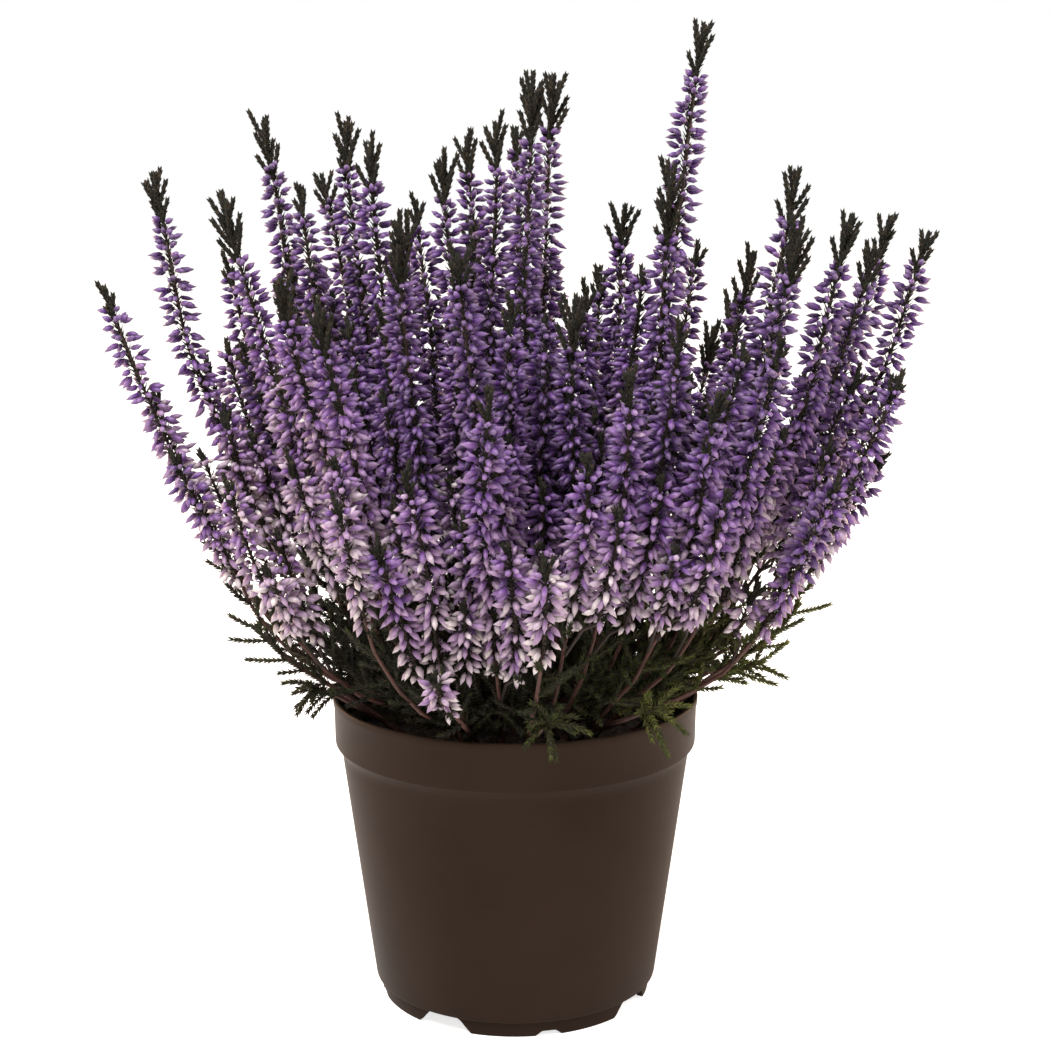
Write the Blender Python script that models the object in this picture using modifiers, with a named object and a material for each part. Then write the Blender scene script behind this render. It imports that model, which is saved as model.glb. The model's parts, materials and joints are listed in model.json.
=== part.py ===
"""Potted heather: a bushy heather in a plain tapered nursery pot, in metres, +Z up.

The origin is on the table under the middle of the plant. Each heather stem stands in a plain
hole in the potting soil, forks just above it and carries one or two flower spikes.
"""

import math

import bmesh
import bpy
import numpy as np
from mathutils import Matrix, Vector

MM = 0.001

# Pot, in millimetres
POT_HEIGHT = 102.0
RIM_RADIUS = 60.0
RIM_BAND = 16.0
BAND_TAPER = 0.7
STEP_RADIUS = 56.9
STEP_FOOT = POT_HEIGHT - RIM_BAND - 4.0
WALL_FOOT = 5.6
WALL_FOOT_RADIUS = 46.8
FOOT_RADIUS = 44.7
FOOT_RING = 2.2
FLOOR_RADIUS = 42.3
WALL = 1.4
FLOOR_UNDERSIDE = 2.6
FLOOR_TOP = 4.2
POT_STEPS = 36
NOTCHES_OF_EACH_SIZE = 4
NOTCH_DEPTH = 8.0
WIDE_NOTCH = (20.0, 11.0, 5.2)
SMALL_NOTCH = (9.0, 4.5, 1.8)
WIDE_NOTCH_TURN_DEG = -31.0
SMALL_NOTCH_TURN_DEG = 14.0
GAP = 0.35

# Soil, in millimetres
SOIL_TOP = 91.5
SOIL_STEPS = 20
SOIL_LUMP = 0.72
HOLE_HALF_WIDTH = 1.55
HOLE_FLOOR = 79.0

# Stems and what grows on them, in millimetres
STEM_FOOT = HOLE_FLOOR + GAP
STEM_RADIUS = 1.25
TWIG_RADIUS = 0.95
FORK_HEIGHT = 97.0
BARE_UP_TO = 110.0
SPIKE_CORE = 2.3
SHOOT_CORE = 1.7
BUD_STEP = 12.8
LEAF_STEP = 14.0
SHOOT_STEP = 12.0
BUD_REACH = 6.6
BUD_DROOP = 3.6
LEAF_REACH = 3.4
LEAF_RISE = 3.6
SHOOT_REACH = 4.4
SHOOT_RISE = 3.4
TIP_CONE = 3.0

# How far the bush spreads from the pot's axis at each height: (height, radius), in millimetres
SPREAD = (
    (79, 40),
    (92, 40),
    (105, 56),
    (120, 75),
    (135, 87),
    (162, 101),
    (208, 120),
    (241, 131),
    (280, 142),
    (330, 154),
)
SPACING = 0.178

# Spikes that make the outline and the front of the bush:
# (across, depth, tip height, foot of the flowers, length of the dark tip), in millimetres
OUTLINE_SPIKES = (
    (-129, -8, 238, 150, 10),
    (-118, 12, 273, 152, 18),
    (-90, -8, 268, 150, 24),
    (-84, 34, 289, 140, 19),
    (-70, 22, 269, 140, 12),
    (-66, 58, 271, 135, 13),
    (-57, 30, 289, 138, 20),
    (-46, -10, 283, 135, 16),
    (-35, -50, 264, 132, 25),
    (-32, 46, 263, 130, 12),
    (-21, -4, 279, 128, 18),
    (-16, 45, 284, 128, 17),
    (-7, 12, 289, 126, 18),
    (6, -22, 304, 126, 24),
    (11, 26, 304, 128, 22),
    (2, 60, 287, 130, 14),
    (36, 4, 263, 138, 17),
    (29, 30, 242, 138, 14),
    (23, -8, 238, 130, 12),
    (19, -48, 238, 126, 20),
    (57, 2, 319, 140, 18),
    (49, -42, 277, 128, 26),
    (78, 24, 247, 140, 20),
    (62, 34, 249, 140, 10),
    (89, 0, 274, 142, 20),
    (85, -48, 262, 138, 22),
    (102, -36, 262, 142, 18),
    (124, 18, 259, 150, 18),
    (112, -14, 251, 148, 16),
    (132, -2, 255, 156, 14),
    (110, 40, 219, 146, 12),
    (116, -44, 214, 146, 8),
    (122, 8, 183, 142, 10),
    (50, -66, 233, 124, 12),
    (-67, -60, 245, 130, 17),
    (-68, -22, 233, 134, 10),
    (-55, -78, 239, 126, 17),
    (-42, -30, 233, 132, 12),
    (-90, 8, 219, 140, 10),
    (-105, 34, 210, 142, 9),
    (-14, -72, 253, 126, 14),
    (-8, -100, 219, 118, 12),
    (9, -112, 173, 122, 8),
    (-30, -98, 195, 118, 10),
    (34, -88, 221, 120, 12),
    (60, -82, 215, 122, 12),
    (78, -76, 229, 128, 10),
    (97, -64, 187, 132, 8),
    (21, -92, 199, 120, 10),
    (-50, -98, 187, 122, 8),
    (-107, -32, 189, 138, 7),
    (-86, -62, 185, 130, 7),
    (-24, -92, 135, 108, 6),
    (0, -44, 237, 124, 12),
)

# Low shoots that carry leaves alone: (across, depth, tip height), in millimetres
LEAFY_SHOOTS = (
    (84, -22, 121),
    (96, 4, 134),
    (-96, 6, 150),
    (-84, -26, 134),
    (-70, -44, 118),
    (12, -84, 117),
    (48, -70, 117),
    (70, 52, 122),
    (-62, 62, 124),
    (4, 88, 120),
)

# Tallest that a spike at the back may stand at each place across: (across, height)
SKYLINE = (
    (-135, 226),
    (-110, 256),
    (-75, 262),
    (-30, 256),
    (0, 268),
    (20, 228),
    (45, 232),
    (75, 236),
    (95, 256),
    (135, 234),
)
BACK_SPIKES = 20
BACK_REACH = 0.85
SEED = 7

# Materials: colour, roughness
POT_PLASTIC = ("pot_plastic", (0.055, 0.040, 0.032), 0.45)
POTTING_SOIL = ("potting_soil", (0.020, 0.014, 0.010), 0.95)
HEATHER = ("heather_flower", (0.230, 0.090, 0.330), 0.60)
HEATHER_LEAF = ("heather_leaf", (0.045, 0.060, 0.018), 0.65)


def clear_scene():
    for old in list(bpy.data.objects):
        bpy.data.objects.remove(old, do_unlink=True)


def new_collection(name):
    collection = bpy.data.collections.new(name)
    bpy.context.scene.collection.children.link(collection)
    return collection


def material(name, colour, roughness):
    made = bpy.data.materials.get(name) or bpy.data.materials.new(name)
    made.use_nodes = True
    shader = made.node_tree.nodes["Principled BSDF"]
    shader.inputs["Base Color"].default_value = (*colour, 1.0)
    shader.inputs["Roughness"].default_value = roughness
    shader.inputs["Metallic"].default_value = 0.0
    return made


def spread(height):
    """The bush's radius at a height, in millimetres."""
    heights, radii = zip(*SPREAD)
    return float(np.interp(height, heights, radii))


def turned(name, profile, steps, collection):
    """A solid of revolution from (radius, height) points in millimetres, both ends on the axis."""
    mesh = bpy.data.meshes.new(name)
    points = [(r * MM, 0.0, z * MM) for r, z in profile]
    edges = [(i, i + 1) for i in range(len(points) - 1)]
    mesh.from_pydata(points, edges, [])
    made = bpy.data.objects.new(name, mesh)
    collection.objects.link(made)
    screw = made.modifiers.new("Turn", "SCREW")
    screw.axis = "Z"
    screw.steps = steps
    screw.render_steps = steps
    screw.use_merge_vertices = True
    screw.merge_threshold = 0.00005
    return made


def applied(obj):
    """The object's evaluated mesh in place of its modifiers."""
    graph = bpy.context.evaluated_depsgraph_get()
    mesh = bpy.data.meshes.new_from_object(obj.evaluated_get(graph))
    obj.modifiers.clear()
    obj.data = mesh
    return obj


def boolean(obj, collection, operation, solver="EXACT"):
    """Cuts the collection's objects from obj, or joins them to it, and removes them."""
    step = obj.modifiers.new("Boolean", "BOOLEAN")
    step.operand_type = "COLLECTION"
    step.collection = collection
    step.operation = operation
    step.solver = solver
    bpy.context.view_layer.update()
    applied(obj)
    for used in list(collection.objects):
        bpy.data.objects.remove(used, do_unlink=True)


def cut_notch(cutters, notch, turn_deg):
    """A cutter for one notch in the foot, narrower at its top. The turn is counted from the front."""
    low_width, high_width, height = notch
    bpy.ops.mesh.primitive_cube_add(size=2.0)
    cutter = bpy.context.active_object
    cutter.name = "notch_cutter"
    slope = (low_width - high_width) / 2 / height
    for v in cutter.data.vertices:
        side = math.copysign(1.0, v.co.y)
        z = height if v.co.z > 0 else -2.0
        half = high_width / 2 + slope * (height - z)
        v.co = Vector((FOOT_RADIUS + v.co.x * NOTCH_DEPTH / 2, side * half, z)) * MM
    cutter.data.transform(Matrix.Rotation(math.radians(turn_deg - 90.0), 4, "Z"))
    cutter.hide_render = True
    cutter.display_type = "WIRE"
    move_to(cutter, cutters)


def make_pot(plant, cutters):
    """Tapered plastic pot: rim band, step, foot ring with drainage notches."""
    lip = POT_HEIGHT - 1.2
    band_foot = POT_HEIGHT - RIM_BAND
    outside = (
        (RIM_RADIUS - 0.2, POT_HEIGHT),
        (RIM_RADIUS, lip),
        (RIM_RADIUS - BAND_TAPER, band_foot),
        (STEP_RADIUS, STEP_FOOT),
        (WALL_FOOT_RADIUS, WALL_FOOT),
        (FOOT_RADIUS + 0.3, WALL_FOOT - 0.3),
        (FOOT_RADIUS, 0.0),
        (FOOT_RADIUS - FOOT_RING, 0.0),
        (FOOT_RADIUS - FOOT_RING - 0.4, FLOOR_UNDERSIDE),
        (0.0, FLOOR_UNDERSIDE),
    )
    inside = (
        (0.0, FLOOR_TOP),
        (FLOOR_RADIUS, FLOOR_TOP),
        (WALL_FOOT_RADIUS - WALL, WALL_FOOT + 2.4),
        (STEP_RADIUS - WALL, STEP_FOOT),
        (RIM_RADIUS - BAND_TAPER - WALL, band_foot),
        (RIM_RADIUS - WALL, lip),
        (RIM_RADIUS - 0.9, POT_HEIGHT),
    )
    profile = inside + outside
    pot = turned("pot", profile, POT_STEPS, plant)
    for i in range(NOTCHES_OF_EACH_SIZE):
        turn = i * 360.0 / NOTCHES_OF_EACH_SIZE
        cut_notch(cutters, WIDE_NOTCH, turn + WIDE_NOTCH_TURN_DEG)
        cut_notch(cutters, SMALL_NOTCH, turn + SMALL_NOTCH_TURN_DEG)
    boolean(pot, cutters, "DIFFERENCE")
    finish_smooth(pot, POT_PLASTIC, 35.0)
    return pot


def move_to(obj, collection):
    for old in list(obj.users_collection):
        old.objects.unlink(obj)
    collection.objects.link(obj)


def finish_smooth(obj, look, angle_deg):
    obj.data.materials.clear()
    obj.data.materials.append(material(*look))
    obj.data.shade_smooth()
    obj.data.set_sharp_from_angle(angle=math.radians(angle_deg))


def make_soil(plant, cutters, feet):
    """Root ball of potting soil that fills the pot, lumpy on top, with a hole for each stem."""
    wall_gap = WALL + GAP
    profile = (
        (0.0, SOIL_TOP),
        (17.0, SOIL_TOP),
        (34.0, SOIL_TOP - 0.2),
        (50.0, SOIL_TOP - 0.8),
        (RIM_RADIUS - BAND_TAPER - wall_gap, SOIL_TOP - 3.0),
        (STEP_RADIUS - 0.3 - wall_gap, STEP_FOOT),
        (WALL_FOOT_RADIUS - wall_gap, WALL_FOOT + 2.5),
        (FLOOR_RADIUS - GAP, FLOOR_TOP + GAP),
        (0.0, FLOOR_TOP + GAP),
    )
    soil = applied(turned("soil", profile, SOIL_STEPS, plant))
    for v in soil.data.vertices:
        if v.co.z > (SOIL_TOP - 1.0) * MM:
            a, b = v.co.x / MM, v.co.y / MM
            lump = math.sin(a * 0.31 + 1.0) * math.cos(b * 0.27) + 0.6 * math.sin(a * 0.7 - b * 0.5)
            v.co.z += SOIL_LUMP * lump * MM
    for x, y in feet:
        bpy.ops.mesh.primitive_cube_add(size=1.0)
        hole = bpy.context.active_object
        hole.name = "hole_cutter"
        top = SOIL_TOP + 6.0
        size = Vector((2 * HOLE_HALF_WIDTH, 2 * HOLE_HALF_WIDTH, top - HOLE_FLOOR)) * MM
        centre = Vector((x, y, (top + HOLE_FLOOR) / 2)) * MM
        hole.data.transform(Matrix.Translation(centre) @ Matrix.Diagonal((*size, 1.0)))
        hole.hide_render = True
        hole.display_type = "WIRE"
        move_to(hole, cutters)
    boolean(soil, cutters, "DIFFERENCE")
    finish_smooth(soil, POTTING_SOIL, 50.0)
    return soil


def plan_bush():
    """Every spike as a dict: its place in the bush (u, v), tip height, foot of its flowers, dark tip."""
    draw = np.random.default_rng(SEED)
    spikes = []
    for x, y, top, flower_foot, tip in OUTLINE_SPIKES:
        r = spread(top)
        spikes.append(dict(u=x / r, v=y / r, top=top, foot=flower_foot, tip=tip, held=True))
    for x, y, top in LEAFY_SHOOTS:
        r = spread(top)
        spikes.append(dict(u=x / r, v=y / r, top=top, foot=top, tip=0, held=True))
    golden = math.pi * (3 - math.sqrt(5))
    for i in range(BACK_SPIKES):
        reach = math.sqrt((i + 0.5) / BACK_SPIKES)
        turn = i * golden
        v = 0.30 + 0.62 * abs(reach * math.sin(turn)) + 0.05 * draw.normal()
        u = 0.92 * reach * math.cos(turn)
        top = 0.0
        tip = 10 + 12 * draw.random()
        spikes.append(dict(u=u, v=v, top=top, foot=0.0, tip=tip, held=False, dip=draw.random()))
    settle(spikes)
    across, heights = zip(*SKYLINE)
    for s in spikes:
        if s["held"]:
            continue
        guess = 250.0 - 12.0 * math.hypot(s["u"], s["v"]) ** 2
        limit = float(np.interp(s["u"] * spread(guess), across, heights))
        s["top"] = limit - 34.0 * s["dip"] - 30.0 * max(0.0, math.hypot(s["u"], s["v"]) - 0.8)
        s["foot"] = 130.0 + 22.0 * math.hypot(s["u"], s["v"])
    return spikes


def settle(spikes):
    """Pushes places apart until they keep the spacing. Held ones keep nearly their place across."""
    place = np.array([(s["u"], s["v"]) for s in spikes])
    ease = np.array([(0.12, 0.8) if s["held"] else (1.0, 1.0) for s in spikes])
    limit = np.array([max(1.0, math.hypot(s["u"], s["v"])) if s["held"] else BACK_REACH for s in spikes])
    for _ in range(500):
        away = place[:, None, :] - place[None, :, :]
        apart = np.hypot(away[..., 0], away[..., 1]) + np.eye(len(place))
        push = np.clip(SPACING - apart, 0.0, None) / apart
        place = place + 0.3 * ease * (away * push[..., None]).sum(axis=1)
        out = np.hypot(place[:, 0], place[:, 1])
        place *= np.minimum(1.0, limit / out)[:, None]
    for s, (u, v) in zip(spikes, place):
        s["u"], s["v"] = float(u), float(v)


def paired(spikes):
    """Stems: each spike with its nearest free neighbour, worked from the rim of the bush inwards."""
    order = sorted(range(len(spikes)), key=lambda i: -math.hypot(spikes[i]["u"], spikes[i]["v"]))
    free = set(order)
    stems = []
    for i in order:
        if i not in free:
            continue
        free.remove(i)
        a = spikes[i]
        near = sorted(free, key=lambda j: math.hypot(a["u"] - spikes[j]["u"], a["v"] - spikes[j]["v"]))
        if near:
            free.remove(near[0])
            pair = sorted((a, spikes[near[0]]), key=lambda s: math.hypot(s["u"], s["v"]))
            stems.append(pair)
        else:
            stems.append([a])
    return stems


def at(spike, height):
    """The point of a spike's axis at a height, in millimetres."""
    reach = math.hypot(spike["u"], spike["v"])
    ease = min(1.0, max(0.0, (height - 105.0) / 13.0))
    kept = min(reach, 1.0) + ease * max(0.0, reach - 1.0)
    scale = kept / max(reach, 1e-6) * spread(height)
    return Vector((spike["u"] * scale, spike["v"] * scale, height))


def steps_between(low, high, step):
    """Heights from low to high, low left out, in even steps of about step."""
    count = max(1, round((high - low) / step))
    return [low + (high - low) * (i + 1) / count for i in range(count)]


def stations(spike, trunk):
    """Points up one spike as (place, radius, what grows on the stretch below it)."""
    if trunk is spike:
        line = [(Vector((*at(spike, 92.0)[:2], STEM_FOOT)), STEM_RADIUS, "bare")]
        line.append((at(spike, 92.0), STEM_RADIUS, "bare"))
        line.append((at(spike, 104.0), STEM_RADIUS, "bare"))
    else:
        line = [(at(trunk, FORK_HEIGHT), TWIG_RADIUS, "bare")]
    leafy_foot = min(BARE_UP_TO, spike["top"] - 12.0)
    line.append((at(spike, leafy_foot), TWIG_RADIUS, "bare"))
    if spike["tip"] == 0:
        for z in steps_between(leafy_foot, spike["top"] - TIP_CONE, LEAF_STEP / 2):
            line.append((at(spike, z), TWIG_RADIUS, "leaf"))
        return line
    flower_foot = max(spike["foot"], leafy_foot + 2.0)
    if flower_foot - leafy_foot > 8.0:
        for z in steps_between(leafy_foot, flower_foot, LEAF_STEP):
            line.append((at(spike, z), TWIG_RADIUS, "leaf"))
    flower_top = spike["top"] - spike["tip"]
    for z in steps_between(flower_foot, flower_top, BUD_STEP):
        line.append((at(spike, z), SPIKE_CORE, "bud"))
    for z in steps_between(flower_top, spike["top"] - TIP_CONE, SHOOT_STEP):
        line.append((at(spike, z), SHOOT_CORE, "shoot"))
    return line


GROWTH = {
    "bud": (BUD_REACH, -BUD_DROOP),
    "leaf": (LEAF_REACH, LEAF_RISE),
    "shoot": (SHOOT_REACH, SHOOT_RISE),
}


def make_twig(name, line, collection):
    """A four-sided twig along the stations, with a bud, leaf or shoot raised from each side."""
    curve = bpy.data.curves.new(name, "CURVE")
    curve.dimensions = "3D"
    curve.bevel_depth = MM
    curve.bevel_resolution = 0
    curve.use_fill_caps = True
    spline = curve.splines.new("POLY")
    spline.points.add(len(line) - 1)
    for i, (point, (place, radius, _)) in enumerate(zip(spline.points, line)):
        point.co = (*(place * MM), 1.0)
        point.radius = radius
        point.tilt = math.radians(45.0 * i)
    guide = bpy.data.objects.new(name + "_guide", curve)
    collection.objects.link(guide)
    graph = bpy.context.evaluated_depsgraph_get()
    graph.update()
    mesh = bpy.data.meshes.new_from_object(guide.evaluated_get(graph))
    bpy.data.objects.remove(guide, do_unlink=True)
    body = bmesh.new()
    body.from_mesh(mesh)
    bmesh.ops.remove_doubles(body, verts=body.verts, dist=0.00001)
    raise_growth(body, line)
    bmesh.ops.triangulate(body, faces=body.faces)
    bmesh.ops.recalc_face_normals(body, faces=body.faces)
    body.to_mesh(mesh)
    body.free()
    twig = bpy.data.objects.new(name, mesh)
    collection.objects.link(twig)
    return twig


def raise_growth(body, line):
    """Pokes each side face and pulls its middle out along the rule for that stretch."""
    centres = [(place * MM) for place, _, _ in line]
    tip = max(body.faces, key=lambda f: f.calc_center_median().z)
    stretches = []
    for face in body.faces:
        middle = face.calc_center_median()
        gaps = [abs((centres[i] + centres[i + 1]).z / 2 - middle.z) for i in range(len(centres) - 1)]
        stretches.append((face, gaps.index(min(gaps)) + 1))
    for face, i in stretches:
        if len(face.verts) != 4 or face is tip:
            continue
        kind = line[i][2]
        if kind == "bare":
            continue
        axis_point = (centres[i] + centres[i - 1]) / 2
        along = (centres[i] - centres[i - 1]).normalized()
        middle = face.calc_center_median()
        out = middle - axis_point
        out -= along * out.dot(along)
        if out.length < 0.0002:
            continue
        reach, rise = GROWTH[kind]
        poked = bmesh.ops.poke(body, faces=[face])
        poked["verts"][0].co = axis_point + out.normalized() * reach * MM + along * rise * MM
    poked = bmesh.ops.poke(body, faces=[tip])
    end = (centres[-1] - centres[-2]).normalized()
    poked["verts"][0].co = centres[-1] + end * TIP_CONE * MM


def make_stem(name, pair, plant, parts):
    """One heather stem from the soil, with its one or two spikes joined as one body."""
    trunk = pair[0]
    stem = make_twig(name, stations(trunk, trunk), plant)
    for other in pair[1:]:
        make_twig(name + "_side", stations(other, trunk), parts)
    if parts.objects:
        boolean(stem, parts, "UNION", solver="MANIFOLD")
    leafy = all(s["tip"] == 0 for s in pair)
    finish_smooth(stem, HEATHER_LEAF if leafy else HEATHER, 20.0)
    return stem


def main():
    clear_scene()
    plant = new_collection("potted_heather")
    cutters = new_collection("cutters")
    parts = new_collection("parts_to_join")
    spikes = plan_bush()
    stems = paired(spikes)
    make_pot(plant, cutters)
    make_soil(plant, cutters, [at(pair[0], 92.0)[:2] for pair in stems])
    for i, pair in enumerate(stems):
        make_stem(f"heather_stem_{i + 1:02d}", pair, plant, parts)


main()
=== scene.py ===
# %% [markdown]
# # A potted heather
# This lesson dresses a plain model of a heather plant in its nursery pot. The plain model, which
# we call the frame, already has the right sizes: a pot, a root ball of soil and 42 forked stems.
# We keep those places and grow real buds, needles and bark on them.

# %% Load the frame
import json
import math

import bmesh
import bpy
import numpy as np
from mathutils import Matrix, Vector, noise

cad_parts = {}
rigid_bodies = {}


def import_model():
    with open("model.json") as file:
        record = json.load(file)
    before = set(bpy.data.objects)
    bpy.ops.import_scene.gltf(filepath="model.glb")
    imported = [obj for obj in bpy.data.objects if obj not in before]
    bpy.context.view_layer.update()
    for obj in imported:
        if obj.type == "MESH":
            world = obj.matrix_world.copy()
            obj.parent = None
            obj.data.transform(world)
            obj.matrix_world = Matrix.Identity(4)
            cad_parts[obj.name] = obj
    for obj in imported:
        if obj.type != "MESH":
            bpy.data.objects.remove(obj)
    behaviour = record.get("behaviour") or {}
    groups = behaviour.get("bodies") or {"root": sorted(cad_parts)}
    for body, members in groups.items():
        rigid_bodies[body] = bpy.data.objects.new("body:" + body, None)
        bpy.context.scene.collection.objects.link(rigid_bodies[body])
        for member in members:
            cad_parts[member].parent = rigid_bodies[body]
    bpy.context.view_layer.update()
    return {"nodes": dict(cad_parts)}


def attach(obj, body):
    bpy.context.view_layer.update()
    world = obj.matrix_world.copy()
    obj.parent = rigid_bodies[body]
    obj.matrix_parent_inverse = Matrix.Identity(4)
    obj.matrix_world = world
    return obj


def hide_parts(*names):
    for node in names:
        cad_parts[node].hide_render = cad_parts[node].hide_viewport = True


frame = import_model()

MM = 0.001
print("nodes in the frame:", len(frame["nodes"]))

# %% [markdown]
# ## Where every spike stands
# A heather's stems leave the soil close together and fan out, so they never cross. We can copy
# that with one trick: give each spike a fixed place (u, v) in a flat disc, and make the disc wider
# with height. Moving up, a spike only slides away from the middle. The spikes that make the
# outline of the bush are listed one by one; the ones at the back come from a seeded rule.

# %% How wide the bush is at each height, in millimetres
SPREAD = (
    (79, 40),
    (92, 40),
    (105, 56),
    (120, 75),
    (135, 87),
    (162, 101),
    (208, 120),
    (241, 131),
    (280, 142),
    (330, 154),
)


def spread(height):
    """The bush's radius at a height, in millimetres."""
    heights, radii = zip(*SPREAD)
    return float(np.interp(height, heights, radii))


print("radius at the rim and at the tips:", round(spread(102), 1), spread(300))

# %% Spikes of the outline: (across, depth, tip height, foot of the flowers, length of the dark tip)
OUTLINE_SPIKES = (
    (-129, -8, 238, 150, 10),
    (-118, 12, 273, 152, 18),
    (-90, -8, 268, 150, 24),
    (-84, 34, 289, 140, 19),
    (-70, 22, 269, 140, 12),
    (-66, 58, 271, 135, 13),
    (-57, 30, 289, 138, 20),
    (-46, -10, 283, 135, 16),
    (-35, -50, 264, 132, 25),
    (-32, 46, 263, 130, 12),
    (-21, -4, 279, 128, 18),
    (-16, 45, 284, 128, 17),
    (-7, 12, 289, 126, 18),
    (6, -22, 304, 126, 24),
    (11, 26, 304, 128, 22),
    (2, 60, 287, 130, 14),
    (36, 4, 263, 138, 17),
    (29, 30, 242, 138, 14),
    (23, -8, 238, 130, 12),
    (19, -48, 238, 126, 20),
    (57, 2, 319, 140, 18),
    (49, -42, 277, 128, 26),
    (78, 24, 247, 140, 20),
    (62, 34, 249, 140, 10),
    (89, 0, 274, 142, 20),
    (85, -48, 262, 138, 22),
    (102, -36, 262, 142, 18),
    (124, 18, 259, 150, 18),
    (112, -14, 251, 148, 16),
    (132, -2, 255, 156, 14),
    (110, 40, 219, 146, 12),
    (116, -44, 214, 146, 8),
    (122, 8, 183, 142, 10),
    (50, -66, 233, 124, 12),
    (-67, -60, 245, 130, 17),
    (-68, -22, 233, 134, 10),
    (-55, -78, 239, 126, 17),
    (-42, -30, 233, 132, 12),
    (-90, 8, 219, 140, 10),
    (-105, 34, 210, 142, 9),
    (-14, -72, 253, 126, 14),
    (-8, -100, 219, 118, 12),
    (9, -112, 173, 122, 8),
    (-30, -98, 195, 118, 10),
    (34, -88, 221, 120, 12),
    (60, -82, 215, 122, 12),
    (78, -76, 229, 128, 10),
    (97, -64, 187, 132, 8),
    (21, -92, 199, 120, 10),
    (-50, -98, 187, 122, 8),
    (-107, -32, 189, 138, 7),
    (-86, -62, 185, 130, 7),
    (-24, -92, 135, 108, 6),
    (0, -44, 237, 124, 12),
)
print("spikes placed by hand:", len(OUTLINE_SPIKES))

# %% Low shoots that carry leaves alone: (across, depth, tip height)
LEAFY_SHOOTS = (
    (84, -22, 121),
    (96, 4, 134),
    (-96, 6, 150),
    (-84, -26, 134),
    (-70, -44, 118),
    (12, -84, 117),
    (48, -70, 117),
    (70, 52, 122),
    (-62, 62, 124),
    (4, 88, 120),
)
print("leafy shoots:", len(LEAFY_SHOOTS))

# %% [markdown]
# The back of the bush isn't typed in, because nobody sees it from the front. A rule fills it: places
# on a sunflower's spiral fill a disc evenly, and a skyline keeps them from standing above the front.
# The rule draws its random numbers from a seed, so it grows the same bush each time.

# %% How tall the back may stand, and how the rule fills it
SKYLINE = (
    (-135, 226),
    (-110, 256),
    (-75, 262),
    (-30, 256),
    (0, 268),
    (20, 228),
    (45, 232),
    (75, 236),
    (95, 256),
    (135, 234),
)
BACK_SPIKES = 20
BACK_NEAREST, BACK_DEPTH, BACK_WIDTH = 0.30, 0.62, 0.92
BACK_REACH = 0.85
BACK_SHORTEST_TIP, BACK_TIP_RANGE = 10, 12
BACK_DIP = 34.0
BACK_EDGE_DROP = 30.0
BACK_FLOWER_FOOT, BACK_FOOT_RISE = 130.0, 22.0
SEED = 7
print("spikes at the back:", BACK_SPIKES)

# %% [markdown]
# Random places clump, and real stems don't: each pushes its neighbours aside. A few hundred small
# pushes between every pair that stands too close give the same even look.

# %% Push the places apart
SPACING = 0.178
PUSHES = 500
PUSH_SHARE = 0.3
HELD_EASE = (0.12, 0.8)


def from_middle(place):
    """How far a place is from the middle of the disc, whose edge is at 1."""
    return math.hypot(place["u"], place["v"])


def settle(spikes):
    """Pushes places apart until they keep the spacing. Held ones keep nearly their place across."""
    place = np.array([(s["u"], s["v"]) for s in spikes])
    ease = np.array([HELD_EASE if s["held"] else (1.0, 1.0) for s in spikes])
    limit = np.array([max(1.0, from_middle(s)) if s["held"] else BACK_REACH for s in spikes])
    for _ in range(PUSHES):
        away = place[:, None, :] - place[None, :, :]
        apart = np.hypot(away[..., 0], away[..., 1]) + np.eye(len(place))
        push = np.clip(SPACING - apart, 0.0, None) / apart
        place = place + PUSH_SHARE * ease * (away * push[..., None]).sum(axis=1)
        out = np.hypot(place[:, 0], place[:, 1])
        place *= np.minimum(1.0, limit / out)[:, None]
    for s, (u, v) in zip(spikes, place):
        s["u"], s["v"] = float(u), float(v)


print("room for a spike near the tips:", round(SPACING * spread(280), 1), "mm")


# %% Plan the whole bush
def typed_spikes():
    """The typed spikes and shoots as dicts: place (u, v), tip height, foot of the flowers, dark tip."""
    spikes = []
    for x, y, top, flower_foot, tip in OUTLINE_SPIKES:
        r = spread(top)
        spikes.append(dict(u=x / r, v=y / r, top=top, foot=flower_foot, tip=tip, held=True))
    for x, y, top in LEAFY_SHOOTS:
        r = spread(top)
        spikes.append(dict(u=x / r, v=y / r, top=top, foot=top, tip=0, held=True))
    return spikes


def back_spikes():
    """Spikes on a sunflower's spiral, folded into the back half of the disc."""
    draw = np.random.default_rng(SEED)
    golden = math.pi * (3 - math.sqrt(5))
    spikes = []
    for i in range(BACK_SPIKES):
        reach = math.sqrt((i + 0.5) / BACK_SPIKES)
        turn = i * golden
        v = BACK_NEAREST + BACK_DEPTH * abs(reach * math.sin(turn)) + 0.05 * draw.normal()
        u = BACK_WIDTH * reach * math.cos(turn)
        tip = BACK_SHORTEST_TIP + BACK_TIP_RANGE * draw.random()
        spikes.append(dict(u=u, v=v, top=0.0, foot=0.0, tip=tip, held=False, dip=draw.random()))
    return spikes


def raise_back(spikes):
    """Gives the spikes at the back their heights under the skyline, lower near the disc's edge."""
    across, heights = zip(*SKYLINE)
    for s in spikes:
        if s["held"]:
            continue
        out = from_middle(s)
        likely_top = 250.0 - 12.0 * out**2
        limit = float(np.interp(s["u"] * spread(likely_top), across, heights))
        s["top"] = limit - BACK_DIP * s["dip"] - BACK_EDGE_DROP * max(0.0, out - 0.8)
        s["foot"] = BACK_FLOWER_FOOT + BACK_FOOT_RISE * out


spikes = typed_spikes() + back_spikes()
settle(spikes)
raise_back(spikes)
print("spikes and shoots:", len(spikes))

# %% [markdown]
# The pushes move a typed spike from its place, and a real spike is never quite straight. Both are
# answered by a slight lean, back over the place that was typed. Flowers also start at different
# heights: where the bush is thin, more of its leaves show below them.

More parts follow.
